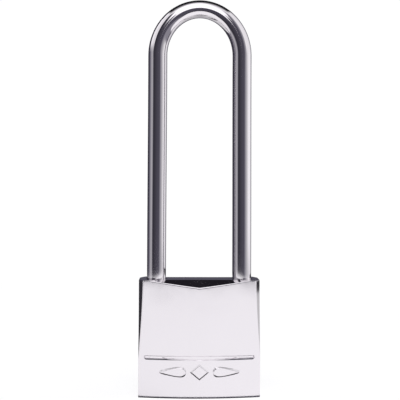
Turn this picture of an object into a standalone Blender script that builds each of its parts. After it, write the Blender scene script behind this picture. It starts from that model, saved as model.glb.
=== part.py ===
"""Solid-body padlock with a long round shackle, modelled closed and unlocked.

Frame: metres, +Z up, origin at the centre of the body's flat underside, front face towards -Y.
The heel leg of the shackle is at -X and the toe leg at +X.  All driving dimensions are given below
in millimetres and scaled to metres when the meshes are made.
"""
import math

import bmesh
import bpy
from mathutils import Matrix, Vector

MM = 0.001

# ---------------------------------------------------------------- driving dimensions (mm)
# body
BODY_W = 30.0            # width across the side faces
BODY_H = 28.8            # height without the shackle
BODY_T = 12.7            # thickness at the middle of the crowned faces
CROWN = 1.5              # how far each face falls back towards its vertical edges
EDGE = 0.25              # small chamfer on the outer edges
TOP_HALF = 3.65          # half depth of the flat top inside the V shaped facets
V_HALF = 12.4            # half width of the V shaped facet
V_DROP = 1.5             # depth of the V's tip below the top
FACET_X = 1.05           # width of the tapered corner facets at the top, along X
FACET_Y = 2.1            # and along Y
FACET_FOOT = 10.0        # height at which the corner facets run out
GROOVE_Z = (9.35, 10.45) # bottom and top of the horizontal face groove
GROOVE_HALF = 13.6       # half length of the groove
GROOVE_DEPTH = 0.35
RAISED = 0.3             # how proud the raised ornament stands
RAISED_Z = (4.5, 8.5)    # bottom and top of the ornament
RAISED_HALF = 9.9        # half length of the ornament

# shackle
SH_D = 4.76              # shackle wire diameter
SH_PITCH = 21.4          # centre distance of the legs
SH_TOP = 98.6            # top of the shackle above the underside
ARCH_RISE = 11.6         # rise of the arch's centre line above the straight legs, a little more than half the pitch
TOE_TIP = 20.0           # lower end of the toe leg
HEEL_END = 6.4           # lower end of the heel leg
HEAD_TOP = 8.2           # top of the stop head on the heel leg
HEAD_R = 2.3
NECK_R = 1.05            # neck above the stop head
SHOULDER = 19.8          # height where the neck meets the full leg
NOTCH_Z = (22.1, 24.9)   # latch notches on the inner side of both legs
NOTCH_DEPTH = 1.3
LIFT = 9.4               # shackle travel

# bores and cavities in the body
LEG_BORE_R = 2.6
HEEL_FLOOR = 2.0
TOE_FLOOR = 19.7
PLUG_BORE_R = 4.3
PLUG_BORE_TOP = 22.6
FLANGE_BORE_R = 4.85
FLANGE_STEP = 1.4
CHANNEL_Z = (22.1, 24.9)
CHANNEL_HALF_X = 7.2
CHANNEL_HALF_Y = 3.5
THROAT_HALF_Y = 2.25

# lock plug
PLUG_R = 4.2
PLUG_Z = (0.25, 20.0)
FLANGE_R = 4.7
FLANGE_TOP = 1.25
GROOVE_R = 3.35          # retaining groove of the plug
PLUG_GROOVE = (17.1, 18.7)
KEYWAY_TOP = 16.6

# cam and latch levers
CAM_R = 3.7
CAM_Z = (20.35, 21.55)
POST_RING = 2.0          # radius on which the two cam posts stand
POST_R = 0.5
POST_TOP = 24.2
LEVER_Z = (22.4, 24.6)
LEVER_IN = 3.4           # inner face of the lever block, retracted
LEVER_TIP = 6.5          # nose tip, retracted

# pin tumblers
CHAMBER_Z = (4.2, 7.8, 11.4, 15.0)
CHAMBER_R = 1.35
KEY_PIN_TIP = (1.3, 0.8, 1.7, 1.1)   # inner end of each key pin, from the plug's axis
KEY_PIN_END = 3.95
KEY_PIN_R = 1.12
DRIVER_X = (4.45, 7.35)
DRIVER_R = 1.2
SPRING_X = (7.65, 12.6)
CAP_X = (12.95, 14.92)
CAP_R = 1.25

# retaining pins, both along Y and pressed in from the back
SH_PIN = (-8.6, 18.6, 0.8)           # x, z, radius
PLUG_PIN = (-4.3, 17.9, 0.55)

# ---------------------------------------------------------------- helpers


def clear_scene():
    for ob in list(bpy.data.objects):
        bpy.data.objects.remove(ob, do_unlink=True)
    for me in list(bpy.data.meshes):
        bpy.data.meshes.remove(me)


def material(name, colour, roughness, metallic=1.0):
    mat = bpy.data.materials.new(name)
    mat.use_nodes = True
    bsdf = mat.node_tree.nodes["Principled BSDF"]
    bsdf.inputs["Base Color"].default_value = (*colour, 1.0)
    bsdf.inputs["Roughness"].default_value = roughness
    bsdf.inputs["Metallic"].default_value = metallic
    mat.diffuse_color = (*colour, 1.0)
    return mat


def add_object(name, bm, mat=None, smooth=False, origin=(0.0, 0.0, 0.0), angle=35.0):
    """Turn a bmesh built in millimetres into an object whose origin sits at origin (mm)."""
    o = Vector(origin)
    for v in bm.verts:
        v.co = (v.co - o) * MM
    bmesh.ops.recalc_face_normals(bm, faces=bm.faces)
    mesh = bpy.data.meshes.new(name)
    bm.to_mesh(mesh)
    bm.free()
    if mesh_volume(mesh) < 0:
        mesh.flip_normals()
    if smooth:
        mesh.shade_smooth()
        mesh.set_sharp_from_angle(angle=math.radians(angle))
    if mat is not None:
        mesh.materials.append(mat)
    ob = bpy.data.objects.new(name, mesh)
    ob.location = o * MM
    bpy.context.scene.collection.objects.link(ob)
    return ob


def mesh_volume(mesh):
    mesh.calc_loop_triangles()
    total = 0.0
    for t in mesh.loop_triangles:
        a, b, c = (mesh.vertices[i].co for i in t.vertices)
        total += a.dot(b.cross(c))
    return total / 6.0


def rings_to_bmesh(rings, closed_ends=True):
    """Skin a list of equal rings of points into a closed tube."""
    bm = bmesh.new()
    rows = [[bm.verts.new(p) for p in ring] for ring in rings]
    n = len(rows[0])
    for a, b in zip(rows, rows[1:]):
        for i in range(n):
            j = (i + 1) % n
            bm.faces.new((a[i], a[j], b[j], b[i]))
    if closed_ends:
        bm.faces.new(list(reversed(rows[0])))
        bm.faces.new(rows[-1])
    return bm


def turned(profile, segs, place=Matrix.Identity(4)):
    """Solid of revolution about the local Z axis from (radius, height) pairs, bottom to top."""
    rings = []
    for r, z in profile:
        rings.append([place @ Vector((r * math.cos(2 * math.pi * i / segs),
                                      r * math.sin(2 * math.pi * i / segs), z)) for i in range(segs)])
    return rings_to_bmesh(rings)


def prism(points, z0, z1):
    """Upright prism over a polygon in the XY plane."""
    return rings_to_bmesh([[Vector((x, y, z0)) for x, y in points], [Vector((x, y, z1)) for x, y in points]])


def box(x, y, z):
    return prism([(x[0], y[0]), (x[1], y[0]), (x[1], y[1]), (x[0], y[1])], z[0], z[1])


def along_x(x, y, z):
    """Placement that turns local Z into +X."""
    return Matrix.Translation((x, y, z)) @ Matrix.Rotation(math.pi / 2, 4, "Y")


def along_y(x, y, z):
    """Placement that turns local Z into +Y."""
    return Matrix.Translation((x, y, z)) @ Matrix.Rotation(-math.pi / 2, 4, "X")


def cylinder(r, length, segs, place):
    return turned([(r, 0.0), (r, length)], segs, place)


def make_cutter(name, bm):
    ob = add_object(name, bm)
    ob.hide_render = True
    ob.display_type = "WIRE"
    return ob


def boolean(target, tool, operation="DIFFERENCE"):
    mod = target.modifiers.new(tool.name, "BOOLEAN")
    mod.operation = operation
    mod.solver = "EXACT"
    mod.object = tool
    return mod


def coil(radius, wire, z0, z1, turns, per_turn, sides, place):
    """Closed helical wire between heights z0 and z1, with closer end coils."""
    lo, hi = z0 + wire / 2, z1 - wire / 2
    tight = wire * 1.15
    steps = int(round(turns * per_turn))
    rings = []
    inner = (hi - lo) - 2 * tight
    pts = []
    for k in range(steps + 1):
        t = turns * k / steps
        if t <= 1.0:
            z = lo + tight * t
        elif t >= turns - 1.0:
            z = hi - tight * (turns - t)
        else:
            z = lo + tight + inner * (t - 1.0) / (turns - 2.0)
        a = 2 * math.pi * t
        pts.append(Vector((radius * math.cos(a), radius * math.sin(a), z)))
    for k, p in enumerate(pts):
        q0, q1 = pts[max(k - 1, 0)], pts[min(k + 1, steps)]
        tangent = (q1 - q0).normalized()
        out = Vector((p.x, p.y, 0.0)).normalized()
        out = (out - tangent * out.dot(tangent)).normalized()
        up = tangent.cross(out)
        rings.append([place @ (p + (out * math.cos(2 * math.pi * i / sides)
                                    + up * math.sin(2 * math.pi * i / sides)) * (wire / 2))
                      for i in range(sides)])
    return rings_to_bmesh(rings)


# ---------------------------------------------------------------- body


def crown_y(x):
    """Half thickness of the body at a distance x from its middle."""
    return BODY_T / 2 - CROWN * (x / (BODY_W / 2)) ** 2


def v_height(x):
    """Height of the facet's lower edge on the crowned face."""
    flat = BODY_H - EDGE
    if abs(x) >= V_HALF:
        return flat
    return min(flat, BODY_H - V_DROP * (1 - abs(x) / V_HALF) - EDGE * abs(x) / V_HALF)


def body_shell():
    half = BODY_W / 2
    stations = [0.0, 1.6, 3.2, 4.8, 6.4, 8.0, 9.6, 11.0, V_HALF, 13.2, 14.0, half - 0.3, half]
    stations = [-x for x in reversed(stations[1:])] + stations
    rings = []
    for x in stations:
        end = abs(x) > half - 0.01
        yf = crown_y(x) - (0.3 if end else 0.0)
        top = BODY_H - (EDGE if end else 0.0)
        foot = EDGE if end else 0.0
        zv = min(v_height(x), top - 0.2)
        yb = min(TOP_HALF, yf - 0.2)
        side = [(-(yf - EDGE), foot), (-yf, foot + EDGE), (-yf, zv), (-yb, top)]
        ring = side + [(-y, z) for y, z in reversed(side)]
        rings.append([Vector((x, y, z)) for y, z in ring])
    bm = rings_to_bmesh(rings)
    # tapered planar facets on the four vertical corners
    for sx in (-1, 1):
        for sy in (-1, 1):
            p1 = Vector((sx * (half - FACET_X), sy * crown_y(half - FACET_X), BODY_H))
            p2 = Vector((sx * half, sy * (crown_y(half) - FACET_Y), BODY_H))
            p3 = Vector((sx * half, sy * crown_y(half), FACET_FOOT))
            no = (p2 - p1).cross(p3 - p1).normalized()
            if no.x * sx < 0:
                no.negate()
            geom = list(bm.verts) + list(bm.edges) + list(bm.faces)
            bmesh.ops.bisect_plane(bm, geom=geom, dist=1e-5, plane_co=p1, plane_no=no, clear_outer=True)
            rim = [e for e in bm.edges if e.is_boundary]
            bmesh.ops.holes_fill(bm, edges=rim, sides=0)
    bmesh.ops.recalc_face_normals(bm, faces=bm.faces)
    return bm


def crown_slab(points_top, points_bottom, inner, outer, sign):
    """Solid whose XZ outline runs between two height functions sampled at the same x values.

    inner and outer are offsets of its two faces from the crowned surface; sign picks the face."""
    rings = []
    for (x, zt), (_, zb) in zip(points_top, points_bottom):
        yi, yo = sign * (crown_y(x) + inner), sign * (crown_y(x) + outer)
        rings.append([Vector((x, yi, zb)), Vector((x, yo, zb)), Vector((x, yo, zt)), Vector((x, yi, zt))])
    return rings_to_bmesh(rings)


def groove_tool(sign):
    mid = sum(GROOVE_Z) / 2
    r = (GROOVE_Z[1] - GROOVE_Z[0]) / 2
    xs = [-GROOVE_HALF + 0.02, -GROOVE_HALF + 0.18, -GROOVE_HALF + r]
    xs += [-9.6, -6.4, -3.2, 0.0, 3.2, 6.4, 9.6]
    xs += [-x for x in reversed(xs[:3])]
    top, bottom = [], []
    for x in xs:
        d = max(0.0, abs(x) - (GROOVE_HALF - r))
        h = math.sqrt(max(r * r - d * d, 0.01))
        top.append((x, mid + h))
        bottom.append((x, mid - h))
    return crown_slab(top, bottom, -GROOVE_DEPTH, 1.5, sign)


def ornament_tools():
    """A plain lozenge between two tapering bars, standing a little proud of the front face."""
    mid = sum(RAISED_Z) / 2
    h = (RAISED_Z[1] - RAISED_Z[0]) / 2
    shapes = []
    xs = [-2.4, -1.2, 0.0, 1.2, 2.4]
    shapes.append([(x, h * (1 - 0.93 * abs(x) / 2.4)) for x in xs])
    for s in (-1, 1):
        bar = [(3.3, 0.5), (4.6, 1.35), (6.4, 1.2), (8.4, 0.85), (RAISED_HALF, 0.3)]
        shapes.append(sorted((s * x, w) for x, w in bar))
    tools = []
    for shape in shapes:
        top = [(x, mid + w) for x, w in shape]
        bottom = [(x, mid - w) for x, w in shape]
        tools.append(crown_slab(top, bottom, -0.8, RAISED, -1))
    return tools


def make_body(mat):
    body = add_object("body", body_shell(), mat)
    pitch = SH_PITCH / 2
    tools = [
        ("cut_heel_bore", cylinder(LEG_BORE_R, 30.0, 32, Matrix.Translation((-pitch, 0, HEEL_FLOOR)))),
        ("cut_toe_bore", cylinder(LEG_BORE_R, 12.0, 32, Matrix.Translation((pitch, 0, TOE_FLOOR)))),
        ("cut_plug_bore", turned([(FLANGE_BORE_R, -1.0), (FLANGE_BORE_R, FLANGE_STEP),
                                  (PLUG_BORE_R, FLANGE_STEP), (PLUG_BORE_R, PLUG_BORE_TOP)], 48)),
        ("cut_channel", box((-CHANNEL_HALF_X, CHANNEL_HALF_X), (-CHANNEL_HALF_Y, CHANNEL_HALF_Y), CHANNEL_Z)),
        ("cut_throat", box((-pitch, pitch), (-THROAT_HALF_Y, THROAT_HALF_Y),
                           (CHANNEL_Z[0] + 0.05, CHANNEL_Z[1] - 0.05))),
        ("cut_shackle_pin", cylinder(SH_PIN[2] + 0.1, 14.0, 16, along_y(SH_PIN[0], -4.0, SH_PIN[1]))),
        ("cut_plug_pin", cylinder(PLUG_PIN[2] + 0.1, 12.0, 16, along_y(PLUG_PIN[0], -2.2, PLUG_PIN[1]))),
        ("cut_groove_front", groove_tool(-1)),
        ("cut_groove_back", groove_tool(1)),
    ]
    for k, z in enumerate(CHAMBER_Z):
        tools.append((f"cut_chamber_{k + 1}", cylinder(CHAMBER_R, 14.0, 20, along_x(3.2, 0, z))))
    for name, bm in tools:
        boolean(body, make_cutter(name, bm))
    for k, bm in enumerate(ornament_tools()):
        boolean(body, make_cutter(f"add_ornament_{k + 1}", bm), "UNION")
    return body


# ---------------------------------------------------------------- shackle


def make_shackle(mat):
    r = SH_D / 2
    pitch = SH_PITCH / 2
    spring_line = SH_TOP - r - ARCH_RISE
    segs, arch = 24, 30
    path = []                                  # (point, radius, direction angle in XZ)
    heel = [(HEEL_END, HEAD_R - 0.3), (HEEL_END + 0.3, HEAD_R), (HEAD_TOP - 0.3, HEAD_R),
            (HEAD_TOP, HEAD_R - 0.3), (HEAD_TOP, NECK_R), (SHOULDER, NECK_R), (SHOULDER, r - 0.35),
            (SHOULDER + 0.35, r), (spring_line, r)]
    for z, rad in heel:
        path.append((Vector((-pitch, 0, z)), rad, 0.0))
    for k in range(1, arch):
        a = math.pi * k / arch
        facing = math.atan2(pitch * math.sin(a), ARCH_RISE * math.cos(a))
        path.append((Vector((-pitch * math.cos(a), 0, spring_line + ARCH_RISE * math.sin(a))), r, facing))
    for z, rad in [(spring_line, r), (TOE_TIP + 0.35, r), (TOE_TIP, r - 0.35)]:
        path.append((Vector((pitch, 0, z)), rad, math.pi))
    rings = []
    for p, rad, a in path:
        across = Vector((-math.cos(a), 0, math.sin(a)))      # points away from the arch's centre
        rings.append([p + (across * math.cos(2 * math.pi * i / segs)
                           + Vector((0, 1, 0)) * math.sin(2 * math.pi * i / segs)) * rad
                      for i in range(segs)])
    shackle = add_object("shackle", rings_to_bmesh(rings), mat, smooth=True, origin=(-pitch, 0, 0))
    floor = pitch - r + NOTCH_DEPTH
    for s, tag in ((-1, "heel"), (1, "toe")):
        xs = sorted((s * (floor - 2.4), s * floor))
        boolean(shackle, make_cutter(f"cut_notch_{tag}", box(xs, (-3.2, 3.2), NOTCH_Z)))
    return shackle


# ---------------------------------------------------------------- lock plug and tumblers


def make_plug(mat):
    bm = turned([(FLANGE_R - 0.2, PLUG_Z[0]), (FLANGE_R, PLUG_Z[0] + 0.2), (FLANGE_R, FLANGE_TOP),
                 (PLUG_R, FLANGE_TOP), (PLUG_R, PLUG_GROOVE[0]), (GROOVE_R, PLUG_GROOVE[0]),
                 (GROOVE_R, PLUG_GROOVE[1]), (PLUG_R, PLUG_GROOVE[1]), (PLUG_R, PLUG_Z[1] - 0.2),
                 (PLUG_R - 0.2, PLUG_Z[1])], 48)
    plug = add_object("plug", bm, mat, smooth=True)
    way = [(-0.6, -6.0), (0.6, -6.0), (0.6, -1.9), (0.2, -1.6), (0.2, -0.7), (0.6, -0.4), (0.6, 2.2),
           (-0.6, 2.2), (-0.6, 0.7), (-0.25, 0.4), (-0.25, -0.4), (-0.6, -0.7)]
    boolean(plug, make_cutter("cut_keyway", prism(way, -1.0, KEYWAY_TOP)))
    for k, z in enumerate(CHAMBER_Z):
        boolean(plug, make_cutter(f"cut_pin_hole_{k + 1}", cylinder(KEY_PIN_R + 0.1, 5.0, 20, along_y(0, 0.55, z))))
    boolean(plug, make_cutter("cut_cam_slot", box((-2.4, 2.4), (-0.7, 0.7), (CAM_Z[0] - 1.4, 21.0))))
    return plug


def make_key_pin(k, mat):
    tip, end = KEY_PIN_TIP[k], KEY_PIN_END
    prof = [(0.35, 0.0), (KEY_PIN_R, 0.6), (KEY_PIN_R, end - tip - 0.15), (KEY_PIN_R - 0.15, end - tip)]
    return add_object(f"key_pin_{k + 1}", turned(prof, 16, along_y(0, tip, CHAMBER_Z[k])), mat, smooth=True)


def make_driver_pin(k, mat):
    length = DRIVER_X[1] - DRIVER_X[0]
    prof = [(DRIVER_R - 0.2, 0.0), (DRIVER_R, 0.2), (DRIVER_R, length - 0.2), (DRIVER_R - 0.2, length)]
    return add_object(f"driver_pin_{k + 1}", turned(prof, 16, along_x(DRIVER_X[0], 0, CHAMBER_Z[k])), mat, smooth=True)


def make_driver_spring(k, mat):
    bm = coil(0.9, 0.34, 0.0, SPRING_X[1] - SPRING_X[0], 6, 9, 5, along_x(SPRING_X[0], 0, CHAMBER_Z[k]))
    return add_object(f"driver_spring_{k + 1}", bm, mat, smooth=True, angle=60)


def make_cap(k, mat):
    length = CAP_X[1] - CAP_X[0]
    prof = [(CAP_R - 0.15, 0.0), (CAP_R, 0.15), (CAP_R, length)]
    return add_object(f"chamber_cap_{k + 1}", turned(prof, 20, along_x(CAP_X[0], 0, CHAMBER_Z[k])), mat, smooth=True)


# ---------------------------------------------------------------- cam, levers, springs, pins


def make_cam(mat):
    cam = add_object("cam", turned([(CAM_R - 0.15, CAM_Z[0]), (CAM_R, CAM_Z[0] + 0.15),
                                    (CAM_R, CAM_Z[1] - 0.15), (CAM_R - 0.15, CAM_Z[1])], 36), mat, smooth=True)
    for k, deg in enumerate((135, 315)):
        a = math.radians(deg)
        place = Matrix.Translation((POST_RING * math.cos(a), POST_RING * math.sin(a), CAM_Z[1] - 0.6))
        length = POST_TOP - CAM_Z[1] + 0.6
        post = turned([(POST_R, 0.0), (POST_R, length - 0.15), (POST_R - 0.15, length)], 16, place)
        boolean(cam, make_cutter(f"add_post_{k + 1}", post), "UNION")
    boolean(cam, make_cutter("add_tang", box((-2.1, 2.1), (-0.4, 0.4), (CAM_Z[0] - 1.1, CAM_Z[0] + 0.5))), "UNION")
    return cam


def make_lever(name, turn, mat):
    out = [(LEVER_IN, -2.0), (LEVER_TIP - 0.45, -2.0), (LEVER_TIP, -1.5), (LEVER_TIP, 1.5),
           (LEVER_TIP - 0.45, 2.0), (4.1, 2.0), (4.1, 3.3), (-2.9, 3.3), (-2.9, 0.95), (-2.1, 0.95),
           (-2.1, 2.65), (LEVER_IN, 2.65)]
    rot = Matrix.Rotation(turn, 4, "Z")
    bm = prism(out, *LEVER_Z)
    bmesh.ops.transform(bm, matrix=rot, verts=bm.verts)
    lever = add_object(name, bm, mat)
    mid = sum(LEVER_Z) / 2
    pocket = cylinder(0.95, 1.5, 16, rot @ along_x(LEVER_IN - 0.3, 0, mid))
    boolean(lever, make_cutter(f"cut_pocket_{name}", pocket))
    return lever


def make_retaining_pin(name, spec, y0, y1, mat):
    x, z, r = spec
    prof = [(r - 0.15, 0.0), (r, 0.15), (r, y1 - y0 - 0.15), (r - 0.15, y1 - y0)]
    return add_object(name, turned(prof, 16, along_y(x, y0, z)), mat, smooth=True)


def main():
    clear_scene()
    plated = material("plated_body", (0.80, 0.78, 0.80), 0.22)
    plated_sh = material("plated_shackle", (0.80, 0.79, 0.81), 0.12)
    brass = material("brass_plug", (0.80, 0.62, 0.30), 0.30)
    brass_pin = material("brass_pins", (0.78, 0.60, 0.32), 0.35)
    cap_mat = material("brass_caps", (0.76, 0.64, 0.40), 0.40)
    steel = material("hard_steel", (0.45, 0.45, 0.47), 0.35)
    lever_mat = material("lever_steel", (0.55, 0.54, 0.52), 0.40)
    spring_mat = material("spring_wire", (0.62, 0.62, 0.64), 0.30)

    make_body(plated)
    make_shackle(plated_sh)
    make_plug(brass)
    make_cam(steel)
    make_lever("toe_lever", 0.0, lever_mat)
    make_lever("heel_lever", math.pi, lever_mat)

    mid = sum(LEVER_Z) / 2
    reach = LEVER_IN + 0.9
    add_object("latch_spring", coil(0.6, 0.24, 0.0, 2 * reach, 9, 8, 5, along_x(-reach, 0, mid)),
               spring_mat, smooth=True, angle=60)
    add_object("shackle_spring", coil(1.85, 0.5, HEEL_FLOOR + 0.25, HEEL_END - 0.3, 5, 12, 6,
                                      Matrix.Translation((-SH_PITCH / 2, 0, 0))),
               spring_mat, smooth=True, angle=60)
    make_retaining_pin("shackle_retaining_pin", SH_PIN, -3.7, crown_y(SH_PIN[0]) - 0.2, steel)
    make_retaining_pin("plug_retaining_pin", PLUG_PIN, -1.9, crown_y(PLUG_PIN[0]) - 0.2, steel)
    for k in range(4):
        make_key_pin(k, brass_pin)
        make_driver_pin(k, brass_pin)
        make_driver_spring(k, spring_mat)
        make_cap(k, cap_mat)


main()
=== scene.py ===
"""Looks of a small padlock with a long shackle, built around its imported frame."""
import math

import bmesh
import bpy
from mathutils import Matrix, Vector


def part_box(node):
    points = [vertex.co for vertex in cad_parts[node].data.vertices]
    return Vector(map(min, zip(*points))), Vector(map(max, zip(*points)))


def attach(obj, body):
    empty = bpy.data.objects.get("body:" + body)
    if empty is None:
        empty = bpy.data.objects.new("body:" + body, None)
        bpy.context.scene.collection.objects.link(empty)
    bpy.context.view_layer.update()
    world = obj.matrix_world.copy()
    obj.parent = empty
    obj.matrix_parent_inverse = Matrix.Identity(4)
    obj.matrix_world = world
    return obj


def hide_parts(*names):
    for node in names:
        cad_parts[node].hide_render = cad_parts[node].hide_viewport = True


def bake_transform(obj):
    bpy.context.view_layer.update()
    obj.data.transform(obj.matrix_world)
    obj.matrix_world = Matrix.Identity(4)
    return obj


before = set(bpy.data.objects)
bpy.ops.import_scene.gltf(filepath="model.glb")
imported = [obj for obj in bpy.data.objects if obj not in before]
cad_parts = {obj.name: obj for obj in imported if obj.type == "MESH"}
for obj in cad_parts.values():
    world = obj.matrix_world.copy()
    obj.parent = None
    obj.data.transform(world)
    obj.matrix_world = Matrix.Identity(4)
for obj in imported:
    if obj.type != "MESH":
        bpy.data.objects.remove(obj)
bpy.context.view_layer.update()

MM = 0.001
scene = bpy.context.scene

# ------------------------------------------------------------------ sizes, in mm, from the frame
BODY_LO, BODY_HI = (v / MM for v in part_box("body"))
SH_LO, SH_HI = (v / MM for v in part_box("shackle"))
PLUG_LO, PLUG_HI = (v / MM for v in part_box("plug"))
W2 = (BODY_HI.x - BODY_LO.x) / 2            # half width of the body
H = BODY_HI.z                               # top of the body
T2 = BODY_HI.y                              # half thickness at the crown
CROWN = 1.5                                 # how far the faces fall back to their vertical edges
SH_R = (SH_HI.y - SH_LO.y) / 2              # shackle rod radius
PITCH = SH_HI.x - SH_R                      # half the leg spacing
TOP_HALF, V_HALF, V_DROP = 3.65, 12.4, 1.8  # flat top and V shaped facets
FACET_X, FACET_Y, FACET_FOOT = 1.10, 2.2, 9.6
GROOVE_MID, GROOVE_R, GROOVE_HALF, GROOVE_DEPTH = 9.9, 0.55, 13.6, 0.35
ARCH_PITCH, ARCH_TOP, ARCH_R, ARCH_RISE = 10.56, SH_HI.z - 0.14, 2.20, 11.65
SPRING_LINE = ARCH_TOP - ARCH_R - ARCH_RISE
NOTCH_Z, NOTCH_DEPTH = (22.1, 24.9), 1.3


def crown_y(x):
    return T2 - CROWN * (x / W2) ** 2


# ------------------------------------------------------------------ mesh helpers


def to_object(name, bm, mat, angle=32.0, weighted=True, origin=(0.0, 0.0, 0.0)):
    """Millimetre bmesh to an object in metres with its origin at origin, smooth shaded with sharp edges kept."""
    bmesh.ops.recalc_face_normals(bm, faces=bm.faces)
    o = Vector(origin)
    for v in bm.verts:
        v.co = (v.co - o) * MM
    me = bpy.data.meshes.new(name)
    bm.to_mesh(me)
    bm.free()
    me.shade_smooth()
    me.set_sharp_from_angle(angle=math.radians(angle))
    me.materials.append(mat)
    ob = bpy.data.objects.new(name, me)
    ob.location = o * MM
    scene.collection.objects.link(ob)
    if weighted:
        mod = ob.modifiers.new("weighted", "WEIGHTED_NORMAL")
        mod.keep_sharp = True
        mod.weight = 80
    return ob


def skin(rings, caps=True):
    bm = bmesh.new()
    rows = [[bm.verts.new(p) for p in ring] for ring in rings]
    n = len(rows[0])
    for a, b in zip(rows, rows[1:]):
        for i in range(n):
            j = (i + 1) % n
            bm.faces.new((a[i], a[j], b[j], b[i]))
    if caps:
        bm.faces.new(list(reversed(rows[0])))
        bm.faces.new(rows[-1])
    return bm


def turned(profile, segs, place=Matrix.Identity(4)):
    rings = []
    for r, z in profile:
        rings.append([place @ Vector((r * math.cos(2 * math.pi * i / segs),
                                      r * math.sin(2 * math.pi * i / segs), z)) for i in range(segs)])
    return skin(rings)


def rounded_profile(points, radius, steps=5):
    """Round the inner corners of an open (r, z) polyline with small quadratic curves."""
    out = [points[0]]
    for k in range(1, len(points) - 1):
        p, c, q = (Vector((*points[k + d], 0)) for d in (-1, 0, 1))
        t = min(radius, (p - c).length * 0.45, (q - c).length * 0.45)
        a, b = c + (p - c).normalized() * t, c + (q - c).normalized() * t
        for s in range(steps + 1):
            u = s / steps
            m = a * (1 - u) ** 2 + c * 2 * u * (1 - u) + b * u * u
            out.append((m.x, m.y))
    out.append(points[-1])
    return out


def along_x(x, y, z):
    return Matrix.Translation((x, y, z)) @ Matrix.Rotation(math.pi / 2, 4, "Y")


def along_y(x, y, z):
    return Matrix.Translation((x, y, z)) @ Matrix.Rotation(-math.pi / 2, 4, "X")


def prism(points, z0, z1):
    return skin([[Vector((x, y, z0)) for x, y in points], [Vector((x, y, z1)) for x, y in points]])


def offset_outline(points, d):
    """Closed counter-clockwise outline moved outwards by d with mitred corners."""
    out = []
    n = len(points)
    for i in range(n):
        p, c, q = (Vector(points[(i + k) % n]) for k in (-1, 0, 1))
        e, f = (c - p).normalized(), (q - c).normalized()
        a, b = Vector((e.y, -e.x)), Vector((f.y, -f.x))
        m = (a + b) / (1 + a.dot(b))
        out.append(tuple(c + m * d))
    return out


def round_outline(points, radius, steps=5):
    """Closed outline with every corner drawn out into a small curve."""
    out = []
    n = len(points)
    for i in range(n):
        p, c, q = (Vector(points[(i + k) % n]) for k in (-1, 0, 1))
        t = min(radius, (p - c).length * 0.45, (q - c).length * 0.45)
        a, b = c + (p - c).normalized() * t, c + (q - c).normalized() * t
        for s in range(steps + 1):
            u = s / steps
            out.append(tuple(a * (1 - u) ** 2 + c * 2 * u * (1 - u) + b * u * u))
    return out


def plate(points, z0, z1, corner, edge, steps=4):
    """Flat plate over a counter-clockwise outline, with its corners and both rims rounded."""
    levels = []
    for k in range(steps + 1):
        a = math.pi / 2 * k / steps
        levels.append((z0 + edge * (1 - math.sin(a)), -edge * (1 - math.cos(a))))
    levels = levels[::-1] + [(z0 + z1 - z, d) for z, d in levels]
    rings = []
    for z, d in levels:
        rings.append([Vector((x, y, z)) for x, y in round_outline(offset_outline(points, d), corner)])
    return skin(rings)


def coil(radius, wire, z0, z1, turns, per_turn, sides, place):
    """Closed helical wire between two heights, with closer end coils that flatten against their seats."""
    lo, hi = z0 + wire / 2, z1 - wire / 2
    tight = wire * 1.15
    steps = int(round(turns * per_turn))
    inner = (hi - lo) - 2 * tight
    pts = []
    for k in range(steps + 1):
        t = turns * k / steps
        if t <= 1.0:
            z = lo + tight * t
        elif t >= turns - 1.0:
            z = hi - tight * (turns - t)
        else:
            z = lo + tight + inner * (t - 1.0) / (turns - 2.0)
        a = 2 * math.pi * t
        pts.append(Vector((radius * math.cos(a), radius * math.sin(a), z)))
    rings = []
    for k, p in enumerate(pts):
        tangent = (pts[min(k + 1, steps)] - pts[max(k - 1, 0)]).normalized()
        out = Vector((p.x, p.y, 0.0)).normalized()
        out = (out - tangent * out.dot(tangent)).normalized()
        up = tangent.cross(out)
        near = min(k, steps - k)                       # the cut ends are rounded over a few rings
        w = wire / 2 * (1.0 if near > 2 else (0.80, 0.94, 0.99)[near])
        rings.append([place @ (p + (out * math.cos(2 * math.pi * i / sides)
                                    + up * math.sin(2 * math.pi * i / sides)) * w) for i in range(sides)])
    return skin(rings)


def cut(target, tools, operation="DIFFERENCE"):
    """Boolean each bmesh out of the target's mesh and leave a plain mesh behind."""
    made = []
    for k, bm in enumerate(tools):
        bmesh.ops.recalc_face_normals(bm, faces=bm.faces)
        for v in bm.verts:
            v.co *= MM
        me = bpy.data.meshes.new("tool")
        bm.to_mesh(me)
        bm.free()
        ob = bpy.data.objects.new(f"tool_{k}", me)
        scene.collection.objects.link(ob)
        ob.location = (0, 0, 0)
        mod = target.modifiers.new(f"bool_{k}", "BOOLEAN")
        mod.operation, mod.solver, mod.object = operation, "EXACT", ob
        made.append(ob)
    weighted = target.modifiers.get("weighted")
    if weighted:
        target.modifiers.remove(weighted)
    bpy.context.view_layer.update()
    dg = bpy.context.evaluated_depsgraph_get()
    me = bpy.data.meshes.new_from_object(target.evaluated_get(dg))
    old = target.data
    target.modifiers.clear()
    target.data = me
    bpy.data.meshes.remove(old)
    for ob in made:
        me_t = ob.data
        bpy.data.objects.remove(ob, do_unlink=True)
        bpy.data.meshes.remove(me_t)
    return target


def finish_shading(ob, angle=32.0, weight=80):
    ob.data.shade_smooth()
    ob.data.set_sharp_from_angle(angle=math.radians(angle))
    mod = ob.modifiers.new("weighted", "WEIGHTED_NORMAL")
    mod.keep_sharp = True
    mod.weight = weight


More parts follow.
